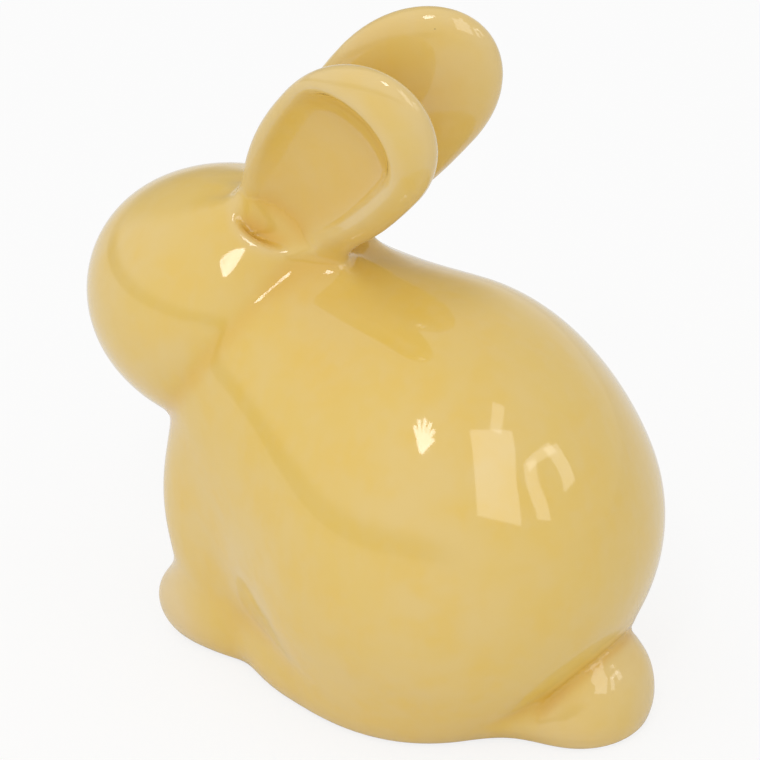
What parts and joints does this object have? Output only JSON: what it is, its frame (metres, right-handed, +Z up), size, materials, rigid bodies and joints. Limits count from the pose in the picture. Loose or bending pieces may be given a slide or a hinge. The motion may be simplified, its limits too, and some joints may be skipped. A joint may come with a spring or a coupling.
{
  "type": "ceramic rabbit figurine",
  "caption": "Crouching rabbit ornament with long scooped ears leaning back, a ball tail and a flat bare foot, hollow-cast in glossy pale yellow glazed earthenware.",
  "frame": {"origin": "on the table, under the middle of the length from nose to tail", "axes": "+Z up, -Y the way the rabbit faces, +X towards the rabbit's left side"},
  "size_m": [0.104, 0.1566, 0.1695],
  "materials": {
    "yellow_glaze": "gloss",
    "bisque": "matte"
  },
  "bodies": {
    "root": {"body_shell": "yellow_glaze", "head_shell": "yellow_glaze", "left_ear": "yellow_glaze", "right_ear": "yellow_glaze", "left_foreleg": "yellow_glaze", "right_foreleg": "yellow_glaze", "left_hind_foot": "yellow_glaze", "right_hind_foot": "yellow_glaze", "tail": "yellow_glaze", "base_disc": "bisque"}
  },
  "joints": []
}
